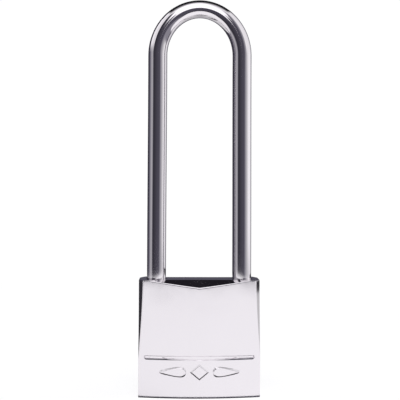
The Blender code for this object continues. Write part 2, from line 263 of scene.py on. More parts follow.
def two_corner_curve(q0, a, b, q3, reach, steps):
    """steps + 1 points from q0 to q3 round the corners a and b, which may coincide."""
    gap = (b - a).length
    t = min(reach, gap / 2)
    s = min(1.0, max(0.0, (gap - reach) / (2 * reach)))
    s = s * s * (3 - 2 * s)
    along = (b - a).normalized() if gap > 1e-9 else Vector((0, 0, 0))
    a1, b0 = a + along * t, b - along * t
    n1 = int(round(steps * 0.36))
    n2 = steps - 2 * n1
    pts = []
    for k in range(steps + 1):
        u = k / steps
        soft = q0 * (1 - u) ** 3 + a * 3 * u * (1 - u) ** 2 + b * 3 * u * u * (1 - u) + q3 * u ** 3
        if k <= n1:
            v = k / n1
            hard = q0 * (1 - v) ** 2 + a * 2 * v * (1 - v) + a1 * v * v
        elif k <= n1 + n2:
            v = (k - n1) / n2
            hard = a1.lerp(b0, v)
        else:
            v = (k - n1 - n2) / n1
            hard = b0 * (1 - v) ** 2 + b * 2 * v * (1 - v) + q3 * v * v
        pts.append(soft.lerp(hard, s))
    return pts


def eased_profile(points, width, count):
    """Corners of an open profile, eased with a running mean, so that the edge keeps its softness as facets fade out."""
    pts = [points[0] + (points[0] - points[1]).normalized() * width] + list(points)
    pts += [points[-1] + (points[-1] - points[-2]).normalized() * width]
    pts = [pts[0]] + [b for a, b in zip(pts, pts[1:]) if (b - a).length > 1e-6]
    ends = [0.0]
    for a, b in zip(pts, pts[1:]):
        ends.append(ends[-1] + (b - a).length)

    def at(s):
        for a, b, s0, s1 in zip(pts, pts[1:], ends, ends[1:]):
            if s <= s1 + 1e-12:
                return a.lerp(b, min(1.0, max(0.0, (s - s0) / (s1 - s0))))
        return pts[-1]

    out, taps = [], 17
    for k in range(count + 1):
        mid = width + (ends[-1] - 2 * width) * k / count
        total = Vector((0, 0, 0))
        for m in range(taps):
            total += at(mid + width * ((m + 0.5) / taps - 0.5))
        out.append(total / taps)
    return out


# ------------------------------------------------------------------ node helpers


class Nodes:
    def __init__(self, tree):
        self.tree = tree

    def add(self, kind, **inputs):
        node = self.tree.nodes.new(kind)
        for key, value in inputs.items():
            setattr(node, key, value)
        return node

    def link(self, a, b):
        self.tree.links.new(a, b)

    def math(self, op, a, b=None, clamp=False):
        n = self.add("ShaderNodeMath", operation=op, use_clamp=clamp)
        for i, v in enumerate((a, b)):
            if v is None:
                continue
            if isinstance(v, (int, float)):
                n.inputs[i].default_value = v
            else:
                self.link(v, n.inputs[i])
        return n.outputs[0]

    def ramp(self, fac, stops, mode="LINEAR"):
        n = self.add("ShaderNodeValToRGB")
        n.color_ramp.interpolation = mode
        el = n.color_ramp.elements
        while len(el) > 1:
            el.remove(el[-1])
        for k, (pos, col) in enumerate(stops):
            e = el[0] if k == 0 else el.new(pos)
            e.position = pos
            if isinstance(col, (int, float)):
                col = (col, col, col)
            e.color = (*col[:3], 1.0)
        self.link(fac, n.inputs["Fac"])
        return n.outputs["Color"]

    def map_range(self, value, a, b, c=0.0, d=1.0, smooth=True):
        n = self.add("ShaderNodeMapRange", interpolation_type="SMOOTHSTEP" if smooth else "LINEAR")
        self.link(value, n.inputs["Value"])
        for key, v in (("From Min", a), ("From Max", b), ("To Min", c), ("To Max", d)):
            n.inputs[key].default_value = v
        return n.outputs["Result"]

    def mix(self, fac, a, b, kind="MIX"):
        n = self.add("ShaderNodeMix", data_type="RGBA", blend_type=kind)
        for key, v in ((0, fac), (6, a), (7, b)):
            if isinstance(v, (int, float)):
                n.inputs[key].default_value = v
            elif isinstance(v, tuple):
                n.inputs[key].default_value = (*v[:3], 1.0)
            else:
                self.link(v, n.inputs[key])
        return n.outputs[2]

    def coords(self, scale=(1, 1, 1), rotation=(0, 0, 0)):
        tc = self.add("ShaderNodeTexCoord")
        mp = self.add("ShaderNodeMapping")
        mp.inputs["Scale"].default_value = scale
        mp.inputs["Rotation"].default_value = rotation
        self.link(tc.outputs["Object"], mp.inputs["Vector"])
        return mp.outputs["Vector"]

    def noise(self, vec, scale, detail=3.0, rough=0.5, distortion=0.0):
        n = self.add("ShaderNodeTexNoise")
        n.inputs["Scale"].default_value = scale
        n.inputs["Detail"].default_value = detail
        n.inputs["Roughness"].default_value = rough
        n.inputs["Distortion"].default_value = distortion
        self.link(vec, n.inputs["Vector"])
        return n.outputs["Fac"]

    def bump(self, height, strength, distance, normal=None):
        n = self.add("ShaderNodeBump")
        n.inputs["Strength"].default_value = strength
        n.inputs["Distance"].default_value = distance
        self.link(height, n.inputs["Height"])
        if normal is not None:
            self.link(normal, n.inputs["Normal"])
        return n.outputs["Normal"]


def new_material(name):
    mat = bpy.data.materials.new(name)
    mat.use_nodes = True
    nt = mat.node_tree
    bsdf = nt.nodes["Principled BSDF"]
    return mat, Nodes(nt), bsdf


def metal(name, colour, rough, grain=(1, 1, 1), grain_amount=0.02, cloud=0.03, scratch=0.35, tint=None,
          bump=0.06, speck=0.0, lathe=None, pitch=0.16):
    """Plated or machined metal: cloudy tone, directional grain, sparse hairline scratches.

    lathe is the axis (X, Y or Z through the object's origin) round which a turned piece keeps its tool marks."""
    mat, n, bsdf = new_material(name)
    bsdf.inputs["Metallic"].default_value = 1.0
    vec = n.coords((1000, 1000, 1000))                    # millimetres
    grain_vec = n.coords(tuple(1000 * g for g in grain))
    clouds = n.noise(vec, 0.16, 4.0, 0.55, 0.4)
    fine = n.noise(grain_vec, 1.0, 5.0, 0.6)
    if lathe:
        sep = n.add("ShaderNodeSeparateXYZ")
        n.link(vec, sep.inputs[0])
        u, v = [sep.outputs[k] for k in "XYZ" if k != lathe]
        radius = n.math("SQRT", n.math("ADD", n.math("MULTIPLY", u, u), n.math("MULTIPLY", v, v)))
        wobble = n.math("MULTIPLY", n.noise(vec, 1.3, 2.0), 0.10)
        rings = n.math("SINE", n.math("MULTIPLY", n.math("ADD", radius, wobble), 2 * math.pi / pitch))
        along = n.math("SINE", n.math("MULTIPLY", n.math("ADD", sep.outputs[lathe], wobble), 2 * math.pi / pitch))
        marks = n.math("MULTIPLY", n.math("ADD", n.math("ADD", rings, along), 2.0), 0.25)
        fine = n.math("ADD", n.math("MULTIPLY", fine, 0.6), n.math("MULTIPLY", marks, 0.4))
    # hairlines: thin bright ridges of stretched voronoi cells in two directions
    lines = None
    for k, (rot, stretch) in enumerate((((0.3, 0.7, 0.35), (5.5, 0.30, 0.30)), ((1.1, 0.2, 1.9), (0.25, 4.5, 0.25)))):
        v = n.coords(tuple(1000 * s for s in stretch), rot)
        vor = n.add("ShaderNodeTexVoronoi", feature="DISTANCE_TO_EDGE")
        vor.inputs["Scale"].default_value = 0.35
        vor.inputs["Randomness"].default_value = 1.0
        n.link(v, vor.inputs["Vector"])
        hair = n.map_range(vor.outputs["Distance"], 0.0, 0.012, 1.0, 0.0)
        gate = n.map_range(n.noise(vec, 0.35 + 0.1 * k, 2.0), 0.52, 0.66)
        hair = n.math("MULTIPLY", hair, gate)
        lines = hair if lines is None else n.math("MAXIMUM", lines, hair)
    dark = tuple(c * (1 - cloud * 2) for c in colour)
    light = tuple(min(1.0, c * (1 + cloud)) for c in (tint or colour))
    col = n.mix(clouds, dark, light)
    col = n.mix(n.math("MULTIPLY", lines, 0.25 * scratch), col, tuple(min(1, c * 1.12 + 0.03) for c in colour))
    if speck:
        sp = n.map_range(n.noise(vec, 3.1, 2.0, 0.5), 0.66, 0.74)
        col = n.mix(n.math("MULTIPLY", sp, speck), col, tuple(c * 0.55 for c in colour))
    n.link(col, bsdf.inputs["Base Color"])
    r = n.map_range(clouds, 0.25, 0.75, rough * 0.75, rough * 1.3)
    r = n.math("ADD", r, n.math("MULTIPLY", n.math("SUBTRACT", fine, 0.5), grain_amount * 4))
    r = n.math("ADD", r, n.math("MULTIPLY", lines, 0.12 * scratch))
    r = n.math("MAXIMUM", r, 0.03)
    n.link(r, bsdf.inputs["Roughness"])
    h = n.math("SUBTRACT", n.math("MULTIPLY", fine, 1.0), n.math("MULTIPLY", lines, 0.7 * scratch))
    n.link(n.bump(h, bump, 0.00002), bsdf.inputs["Normal"])
    return mat


# ------------------------------------------------------------------ materials
BODY_MAT = metal("body_plating", (0.86, 0.835, 0.855), 0.13, grain=(9.0, 9.0, 0.22), grain_amount=0.012,
                 cloud=0.012, scratch=0.30, tint=(0.875, 0.845, 0.87), bump=0.05)
SHACKLE_MAT = metal("shackle_plating", (0.87, 0.845, 0.865), 0.07, grain=(7.0, 7.0, 0.25), grain_amount=0.008,
                    cloud=0.012, scratch=0.35, tint=(0.88, 0.85, 0.875), bump=0.04)
BRASS_MAT = metal("plug_brass", (0.80, 0.60, 0.28), 0.24, grain=(4.0, 4.0, 4.0), grain_amount=0.03,
                  cloud=0.06, scratch=0.6, tint=(0.86, 0.68, 0.36), bump=0.30, speck=0.25, lathe="Z")
PIN_MAT = metal("pin_brass", (0.78, 0.58, 0.30), 0.28, grain=(5.0, 5.0, 5.0), grain_amount=0.03, cloud=0.05,
                scratch=0.4, bump=0.25, lathe="Z", pitch=0.12)
CAP_MAT = metal("cap_brass", (0.84, 0.80, 0.80), 0.20, grain=(6.0, 6.0, 6.0), grain_amount=0.03, cloud=0.03,
                scratch=0.5, bump=0.30, lathe="Z", pitch=0.14)
STEEL_MAT = metal("hard_steel", (0.50, 0.50, 0.52), 0.25, grain=(5.0, 5.0, 0.6), grain_amount=0.03, cloud=0.06,
                  scratch=0.5, bump=0.25, speck=0.15, lathe="Z", pitch=0.12)
LEVER_MAT = metal("lever_steel", (0.56, 0.55, 0.53), 0.32, grain=(0.5, 6.0, 6.0), cloud=0.08, scratch=0.6, bump=0.12,
                  speck=0.2)
SPRING_MAT = metal("spring_wire", (0.62, 0.62, 0.64), 0.22, grain=(3.0, 3.0, 3.0), cloud=0.05, scratch=0.3, bump=0.08)


# ------------------------------------------------------------------ body
EDGE = 0.30       # rounding reach of the top and bottom edges
CORNER = 0.28     # rounding reach of the vertical corners


def facet_at(z):
    """Corner points (front/facet and facet/side) of the body outline in the +x, +y quadrant."""
    c = min(1.0, max(0.0, (z - FACET_FOOT) / (H - FACET_FOOT)))
    c = 1 - (1 - c) ** 1.6                          # the facets swell a little as they rise
    dx, dy = FACET_X, (crown_y(W2 - FACET_X) - (crown_y(W2) - FACET_Y))
    t = 0.0
    for _ in range(12):
        x = W2 - dx * t
        t += ((crown_y(x) - crown_y(W2)) + FACET_Y * c - dy * t) / dy
    x = W2 - dx * t
    return Vector((x, crown_y(x), 0)), Vector((W2, crown_y(W2) - FACET_Y * c, 0))


FACE_S = sorted({0.0, *[k / 26 for k in range(1, 23)], *[0.862 + 0.0085 * k for k in range(12)], 0.975, 1.0})
FACE_S = [-s for s in reversed(FACE_S[1:])] + FACE_S
N_SIDE, N_CORNER = 9, 12


def groove_depth(x, z):
    """Depth of the groove: steep walls, and below it a narrow bevel that fades out towards the middle."""
    over = max(0.0, abs(x) - (GROOVE_HALF - GROOVE_R))
    if over >= GROOVE_R:
        return 0.0
    reach = math.sqrt(GROOVE_R ** 2 - over ** 2)
    bevel = 0.40 * min(1.0, abs(x) / 9.0) ** 1.5
    low, high = z - (GROOVE_MID - reach), (GROOVE_MID + reach) - z
    if low <= 0 or high <= 0:
        return 0.0
    lip = 0.20 * min(low, bevel)

    def wall(t):
        u = min(1.0, max(0.0, t))
        return u * u * (3 - 2 * u)

    side = wall(over and (GROOVE_R - over) / 0.16 or 1.0)
    return lip + (GROOVE_DEPTH - lip) * min(wall((low - bevel) / 0.16), wall(high / 0.26), side)


def outline(z):
    """List of (point, inset direction, face x or None) round the body at height z.

    Moving every point by d times its inset direction offsets the faces and sides by d and keeps the corners' shape.
    """
    a, b = facet_at(z)
    slope = -2 * CROWN * a.x / W2 ** 2
    back = Vector((-1.0, -slope, 0)).normalized()
    q0 = a + back * CORNER
    q0.y = crown_y(q0.x)
    q3 = b + Vector((0, -CORNER, 0))
    curve = two_corner_curve(q0, a, b, q3, CORNER, N_CORNER)
    g0 = 2 * CROWN * q0.x / W2 ** 2
    mitre = Vector((-1.0, g0 - math.sqrt(1 + g0 * g0), 0))
    drift = mitre - Vector((-g0, -1, 0)).normalized()
    pts = []

    def face(sy, direction):
        for s in (FACE_S if direction > 0 else FACE_S[::-1]):
            x = s * q0.x
            g = 2 * CROWN * abs(x) / W2 ** 2
            n = Vector((-g, -1, 0)).normalized() + drift * abs(s)
            sx = -1 if x < 0 else 1
            pts.append((Vector((x, sy * (crown_y(x) - groove_depth(x, z)), 0)), Vector((n.x * sx, n.y * sy, 0)), x))

    def corner(sx, sy, outward):
        for p in (curve[1:] if outward else curve[:0:-1]):
            pts.append((Vector((p.x * sx, p.y * sy, 0)), Vector((mitre.x * sx, mitre.y * sy, 0)), None))

    def side(sx, up):
        for k in range(N_SIDE):
            t = (1 - 2 * (k + 1) / (N_SIDE + 1)) * (-1 if up else 1)
            pts.append((Vector((sx * W2, q3.y * t, 0)), Vector((-sx, mitre.y * t, 0)), None))

    face(-1, 1)
    corner(1, -1, True)
    side(1, True)
    corner(1, 1, False)
    face(1, -1)
    corner(-1, 1, True)
    side(-1, False)
    corner(-1, -1, False)
    return pts


def edge_curve(reach, steps):
    """Offsets (inwards, up) round a square edge, from the foot of the rounding to its top."""
    at = [Vector(p) for p in ((0, -reach, 0), (0, 0, 0), (0, 0, 0), (reach, 0, 0))]
    return two_corner_curve(*at, reach, steps)


def body_mesh():
    zs = [EDGE, 1.2, 3.0, 4.8, 6.6, 8.2, 9.0]
    zs += [9.30 + 0.04 * k for k in range(15)] + [9.96, 10.06]
    zs += [10.14 + 0.04 * k for k in range(10)]
    zs += [10.8, 11.4, 12.0, 12.8, 14.0, 15.5, 17.0, 19.0, 21.0, 22.5]
    n_up, n_top = 5, 30
    rings = []
    base = outline(EDGE)                            # bottom rounding, from the underside up
    for c in edge_curve(EDGE, 6)[:0:-1]:
        rings.append([Vector((p.x, p.y, -c.y)) + n * c.x for p, n, _ in base])
    for z in zs:
        rings.append([Vector((p.x, p.y, z)) for p, n, _ in outline(z)])
    # upper part: the rows climb to the lower edge of the V facets, then round over on to the top
    z_from = zs[-1]
    curves = []
    for p, n, x in outline(H):
        v = 0.0 if x is None else max(0.0, 1 - abs(x) / V_HALF)
        ease = min(1.0, v / 0.12)
        ease = ease * ease * (3 - 2 * ease)
        b_in = max(0.0, abs(p.y) - TOP_HALF) * ease
        z_a = H - V_DROP * v
        d = n.lerp(Vector((0, -1 if p.y > 0 else 1, 0)), ease)
        q0, a = Vector((0, 0, z_a - EDGE)), Vector((0, 0, z_a))
        b, q3 = Vector((b_in, 0, H)), Vector((b_in + EDGE, 0, H))
        curve = eased_profile([q0, a, b, q3], 1.7 * EDGE, n_top)
        curves.append([(Vector((p.x, p.y, c.z)) + d * c.x) for c in curve])
    for k in range(1, n_up):
        ring = []
        for i, c in enumerate(curves):
            z = z_from + (c[0].z - z_from) * k / n_up
            p = outline_cache(z)[i][0]
            ring.append(Vector((p.x, p.y, z)))
        rings.append(ring)
    for k in range(n_top + 1):
        rings.append([c[k] for c in curves])
    return skin(rings)


_cache = {}


def outline_cache(z):
    key = round(z, 3)
    if key not in _cache:
        _cache[key] = outline(z)
    return _cache[key]


def bore_tool(r, z0, z1, lip, segs=96, place=Matrix.Identity(4)):
    """Round tool from a floor at z0 to beyond the mouth at z1, with a softened lip at the mouth."""
    prof = [(r, z0), (r, z1 - lip)]
    for k in range(1, 6):
        a = math.pi / 2 * k / 5
        prof.append((r + lip * (1 - math.cos(a)), z1 - lip + lip * math.sin(a)))
    prof.append((r + lip + 0.001, z1 + 1.0))
    return turned(prof, segs, place)


body = to_object("body_block", body_mesh(), BODY_MAT, weighted=False)
down = Matrix.Rotation(math.pi, 4, "X")
tools = [
    bore_tool(2.6, 2.0, H, 0.07, place=Matrix.Translation((-PITCH, 0, 0))),
    bore_tool(2.6, 19.7, H, 0.07, place=Matrix.Translation((PITCH, 0, 0))),
    bore_tool(4.85, -1.4, 0.0, 0.14, place=down),
    turned([(4.3, 1.0), (4.3, 22.6)], 96),
    prism([(-7.2, -3.5), (7.2, -3.5), (7.2, 3.5), (-7.2, 3.5)], 22.1, 24.9),
    prism([(-PITCH, -2.25), (PITCH, -2.25), (PITCH, 2.25), (-PITCH, 2.25)], 22.15, 24.85),
]
for z in (4.2, 7.8, 11.4, 15.0):
    tools.append(bore_tool(1.35, 3.2, W2, 0.07, 64, along_x(0, 0, z)))
for x, z, r, y0 in ((-8.6, 18.6, 0.9, -4.0), (-4.3, 17.9, 0.65, -2.2)):
    tools.append(turned([(r, 0.0), (r, 14.0)], 48, along_y(x, y0, z)))
cut(body, tools)
finish_shading(body, 30.0, 90)
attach(body, "housing")
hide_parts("body")


# ------------------------------------------------------------------ ornament on the front face


def raised_shape(name, xs, half, height=0.30, flank=0.33):
    """Closed raised patch on the crowned front face, with sloping flanks: its half height is half(x)."""
    m = len(xs) - 1
    mid, reach = (xs[0] + xs[-1]) / 2, abs(xs[-1] - xs[0]) / 2
    pointed = [half(xs[0]) < 1e-6, half(xs[-1]) < 1e-6]
    bm = bmesh.new()
    rows = []
    for lift, f in ((-0.25, 0.0), (0.0, 0.0), (0.012, 0.03), (height - 0.022, 0.94), (height - 0.004, 1.08), (height, 1.25)):
        low, high = [], []
        for x in xs:
            h = half(x)
            if pointed[0] and pointed[1]:
                h *= 1 - f * 0.22
                px = mid + (x - mid) * (1 - f * 0.22)
            else:
                h -= f * min(flank, 0.60 * h)
                px = mid + (x - mid) * (1 - f * 0.30 / reach)
            low.append(bm.verts.new((px, -(crown_y(px) + lift), ORNAMENT_Z - h)))
            high.append(low[-1] if h < 1e-6 else bm.verts.new((px, -(crown_y(px) + lift), ORNAMENT_Z + h)))
        rows.append(low + [v for v in reversed(high) if v not in low])
        if len(rows) in (1, 6):                     # close the root and the top between matching points
            for k in range(m):
                ring = []
                for v in (low[k], low[k + 1], high[k + 1], high[k]):
                    if v not in ring:
                        ring.append(v)
                if len(ring) > 2:
                    bm.faces.new(ring)
    n = len(rows[0])
    for a, b in zip(rows, rows[1:]):
        for k in range(n):
            j = (k + 1) % n
            bm.faces.new((a[k], a[j], b[j], b[k]))
    return to_object(name, bm, BODY_MAT, 16.0)


ORNAMENT_Z = 6.5


def bar_half(x):
    """Half height of a bar: a rounded inner end, the widest near 4.6 and a long taper outwards."""
    x = abs(x)
    keys = ((3.3, 0.30), (3.36, 0.56), (3.5, 0.84), (3.75, 1.08), (4.1, 1.24), (4.6, 1.30), (5.4, 1.26), (6.4, 1.12), (8.4, 0.74),
            (9.5, 0.44), (9.8, 0.30), (9.9, 0.18))
    for (x0, h0), (x1, h1) in zip(keys, keys[1:]):
        if x <= x1 + 1e-9:
            return h0 + (h1 - h0) * (x - x0) / (x1 - x0)
    return keys[-1][1]


ornaments = [("ornament_lozenge", [-2.4 + 0.2 * k for k in range(25)], lambda x: max(0.0, 2.0 * (1 - abs(x) / 2.4)))]
bar_xs = [3.3, 3.33, 3.36, 3.42, 3.5, 3.6, 3.75, 3.9] + [4.1 + 5.4 * k / 36 for k in range(37)] + [9.65, 9.8, 9.86, 9.9]
ornaments.append(("ornament_bar_right", bar_xs, bar_half))
ornaments.append(("ornament_bar_left", [-x for x in reversed(bar_xs)], bar_half))
for name, xs, half in ornaments:
    ob = raised_shape(name, xs, half)
    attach(ob, "housing")


# ------------------------------------------------------------------ shackle


def shackle_mesh():
    r, segs, arch = SH_R, 64, 96
    path = []

    def leg_x(z):
        t = min(1.0, max(0.0, (z - H) / (SPRING_LINE - H)))
        return PITCH + (ARCH_PITCH - PITCH) * t * t * (3 - 2 * t)

    heel = [(6.4, 1.95), (6.46, 2.12), (6.58, 2.24), (6.75, 2.30), (7.85, 2.30), (8.02, 2.24), (8.14, 2.12), (8.2, 1.95),
            (8.2, 1.20), (8.3, 1.08), (8.5, 1.05), (19.5, 1.05), (19.72, 1.08), (19.8, 1.20), (19.8, r - 0.40),
            (19.84, r - 0.22), (19.95, r - 0.08), (20.15, r)]
    heel += [(20.15 + (SPRING_LINE - 20.15) * k / 32, r) for k in range(1, 33)]
    for z, rad in heel:
        path.append((Vector((-leg_x(z), 0, z)), rad, 0.0))
    for k in range(1, arch):
        a = math.pi * k / arch
        facing = math.atan2(ARCH_PITCH * math.sin(a), ARCH_RISE * math.cos(a))
        path.append((Vector((-ARCH_PITCH * math.cos(a), 0, SPRING_LINE + ARCH_RISE * math.sin(a))), r, facing))
    toe = [(SPRING_LINE + (20.55 - SPRING_LINE) * k / 32, r) for k in range(33)]
    toe += [(20.35, r - 0.03), (20.18, r - 0.11), (20.06, r - 0.25), (20.0, r - 0.45)]
    for z, rad in toe:
        path.append((Vector((leg_x(z), 0, z)), rad, math.pi))
    rings = []
    for p, rad, a in path:
        across = Vector((-math.cos(a), 0, math.sin(a))) * (1 - (1 - ARCH_R / r) * math.sin(a) ** 2)
        rings.append([p + (across * math.cos(2 * math.pi * i / segs)
                           + Vector((0, 1, 0)) * math.sin(2 * math.pi * i / segs)) * rad for i in range(segs)])
    return skin(rings)


shackle = to_object("shackle_rod", shackle_mesh(), SHACKLE_MAT, weighted=False)
floor_x = PITCH - SH_R + NOTCH_DEPTH
notches = []
for s in (-1, 1):
    xs = sorted((s * (floor_x - 2.4), s * floor_x))
    notches.append(prism([(xs[0], -3.2), (xs[1], -3.2), (xs[1], 3.2), (xs[0], 3.2)], *NOTCH_Z))
cut(shackle, notches)
finish_shading(shackle, 35.0, 60)
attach(shackle, "shackle_body")
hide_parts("shackle")

# ------------------------------------------------------------------ lock work: fine versions of the inner pieces
CHAMBER_Z = (4.2, 7.8, 11.4, 15.0)
UP = Matrix.Identity(4)


def piece(name, node, bm, mat, body_name, angle=32.0, origin=(0.0, 0.0, 0.0), axis=None, tools=(), add=()):
    """A fine piece in place of one CAD node. axis is the turn that takes its local Z to its own axis."""
    ob = to_object(name, bm, mat, angle, weighted=False)
    if add:
        cut(ob, list(add), "UNION")
    if tools:
        cut(ob, list(tools))
    if axis is not None or any(origin):
        place = Matrix.Translation(Vector(origin) * MM) @ (axis or UP)
        ob.data.transform(place.inverted())
        ob.matrix_world = place
    finish_shading(ob, angle, 60)
    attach(ob, body_name)
    if node:
        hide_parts(node)
    return ob


# plug: turned, with its keyway, pin holes and cam slot
plug_profile = rounded_profile([(0.4, 0.25), (4.7, 0.25), (4.7, 1.25), (4.2, 1.25), (4.2, 17.1), (3.35, 17.1),
                                (3.35, 18.7), (4.2, 18.7), (4.2, 20.0), (0.4, 20.0)], 0.16, 5)
way = [(-0.6, -6.0), (0.6, -6.0), (0.6, -1.9), (0.2, -1.6), (0.2, -0.7), (0.6, -0.4), (0.6, 2.2),
       (-0.6, 2.2), (-0.6, 0.7), (-0.25, 0.4), (-0.25, -0.4), (-0.6, -0.7)]
keyway_rings = []
for z, d in ((-1.0, 0.13), (0.25, 0.13), (0.29, 0.08), (0.36, 0.03), (0.46, 0.0), (16.6, 0.0)):
    keyway_rings.append([Vector((x, y, z)) for x, y in round_outline(offset_outline(way, d), 0.12, 4)])
plug_tools = [skin(keyway_rings)]
for z in CHAMBER_Z:
    plug_tools.append(turned([(1.22, 0.0), (1.22, 5.0)], 48, along_y(0, 0.55, z)))
plug_tools.append(prism([(-2.4, -0.7), (2.4, -0.7), (2.4, 0.7), (-2.4, 0.7)], 18.95, 21.0))
piece("lock_plug", "plug", turned(plug_profile, 128), BRASS_MAT, "lock_cylinder", tools=plug_tools)

# cam: disc, two posts and the tang that sits in the plug's slot
cam_profile = rounded_profile([(0.4, 20.35), (3.7, 20.35), (3.7, 21.55), (0.4, 21.55)], 0.14, 4)
cam_parts = []
for deg in (135, 315):
    a = math.radians(deg)
    cam_parts.append(turned(rounded_profile([(0.1, 20.95), (0.5, 20.95), (0.5, 24.2), (0.1, 24.2)], 0.12, 4), 40,
                            Matrix.Translation((2.0 * math.cos(a), 2.0 * math.sin(a), 0))))
cam_parts.append(plate([(-2.1, -0.4), (2.1, -0.4), (2.1, 0.4), (-2.1, 0.4)], 19.25, 20.85, 0.12, 0.06))
piece("cam_disc", "cam", turned(cam_profile, 96), STEEL_MAT, "lock_cylinder", add=cam_parts)

# latch levers: stamped plates with rounded rims and a pocket for the spring
lever = [(3.4, -2.0), (6.05, -2.0), (6.5, -1.5), (6.5, 1.5), (6.05, 2.0), (4.1, 2.0), (4.1, 3.3), (-2.9, 3.3),
         (-2.9, 0.95), (-2.1, 0.95), (-2.1, 2.65), (3.4, 2.65)]
for tag, sign in (("toe", 1), ("heel", -1)):
    pts = [(sign * x, sign * y) for x, y in lever]
    pocket = turned([(0.95, 3.1), (0.95, 4.6)], 48, Matrix.Rotation(sign * math.pi / 2, 4, "Y") @ Matrix.Translation((-23.5 * sign, 0, 0)))
    piece(f"{tag}_latch_plate", f"{tag}_lever", plate(pts, 22.4, 24.6, 0.22, 0.12), LEVER_MAT, f"{tag}_latch",
          tools=[pocket])

# key pins, driver pins, their springs and the caps that close the chambers
for k, z in enumerate(CHAMBER_Z):
    tip = (1.3, 0.8, 1.7, 1.1)[k]
    n = 3.95 - tip
    turn_y = Matrix.Rotation(-math.pi / 2, 4, "X")
    turn_x = Matrix.Rotation(math.pi / 2, 4, "Y")
    prof = rounded_profile([(0.12, 0.0), (0.35, 0.0), (1.12, 0.6), (1.12, n), (0.12, n)], 0.13, 4)
    piece(f"bottom_pin_{k + 1}", f"key_pin_{k + 1}", turned(prof, 48, along_y(0, tip, z)), PIN_MAT, "lock_cylinder",
          origin=(0, tip, z), axis=turn_y)
    prof = rounded_profile([(0.12, 0.0), (1.2, 0.0), (1.2, 1.05), (0.95, 1.2), (0.95, 1.7), (1.2, 1.85), (1.2, 2.9),
                            (0.12, 2.9)], 0.13, 4)
    piece(f"top_pin_{k + 1}", f"driver_pin_{k + 1}", turned(prof, 48, along_x(4.45, 0, z)), PIN_MAT, "housing",
          origin=(4.45, 0, z), axis=turn_x)
    piece(f"pin_spring_{k + 1}", f"driver_spring_{k + 1}", coil(0.9, 0.34, 0.0, 4.95, 6, 24, 12, along_x(7.65, 0, z)),
          SPRING_MAT, "housing", 60.0)
    prof = rounded_profile([(0.05, 0.0), (1.25, 0.0), (1.25, 1.97), (0.22, 1.97), (0.14, 1.90), (0.05, 1.88)], 0.10, 4)
    piece(f"chamber_plug_{k + 1}", f"chamber_cap_{k + 1}", turned(prof, 64, along_x(12.95, 0, z)), CAP_MAT, "housing",
          origin=(12.95, 0, z), axis=turn_x)

# retaining pins, pressed in from the back
for name, node, x, z, r, y0 in (("shackle_stop_pin", "shackle_retaining_pin", -8.6, 18.6, 0.8, -3.7),
                                ("plug_stop_pin", "plug_retaining_pin", -4.3, 17.9, 0.55, -1.9)):
    n = crown_y(x) - 0.2 - y0
    prof = rounded_profile([(0.05, 0.0), (r - 0.12, 0.0), (r, 0.2), (r, n), (0.05, n)], 0.15, 4)
    piece(name, node, turned(prof, 48, along_y(x, y0, z)), STEEL_MAT, "housing", origin=(x, y0, z),
          axis=Matrix.Rotation(-math.pi / 2, 4, "X"))

# shackle spring: a coil whose foot sits in the body, in the heel leg's bore under the heel
spring = to_object("lift_spring", coil(1.85, 0.5, 2.25, 6.1, 5, 40, 14, UP), SPRING_MAT, 60.0, weighted=False)
spring.data.transform(Matrix.Translation((-PITCH * MM, 0, 0)))
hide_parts("shackle_spring")
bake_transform(spring)

# latch spring: each half runs from the middle of the channel into one lever's pocket
for tag, sign in (("toe", 1), ("heel", -1)):
    half = to_object(f"latch_spring_{tag}_half",
                     coil(0.6, 0.24, 0.0, 4.3, 5, 32, 12,
                          Matrix.Translation((0, 0, 23.5)) @ Matrix.Rotation(sign * math.pi / 2, 4, "Y")),
                     SPRING_MAT, 60.0, weighted=False)
    if sign > 0:
        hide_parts("latch_spring")
    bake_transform(half)

# ------------------------------------------------------------------ stage: floor, world, camera


SOFTBOX = ((-180, 60), (-152, 75), (-134, 190), (-120, 245), (-100, 240), (-70, 215), (-50, 235), (-36, 266), (14, 268),
           (36, 235), (60, 225), (90, 225), (120, 215), (152, 205), (168, 90), (180, 60))


def stop(deg, level):
    """A level (0..255) that bright plating shows, to linear radiance over a reflectance of 0.85."""
    s = level / 255
    lin = (s / 12.92 if s <= 0.04045 else ((s + 0.055) / 1.055) ** 2.4) / 0.85
    cool = min(1.0, max(0.0, (170 - level) / 90))
    return (deg / 360 + 0.5, (lin * (1.0 - 0.03 * cool), lin * (0.99 - 0.07 * cool), lin * (1.02 + 0.20 * cool)))


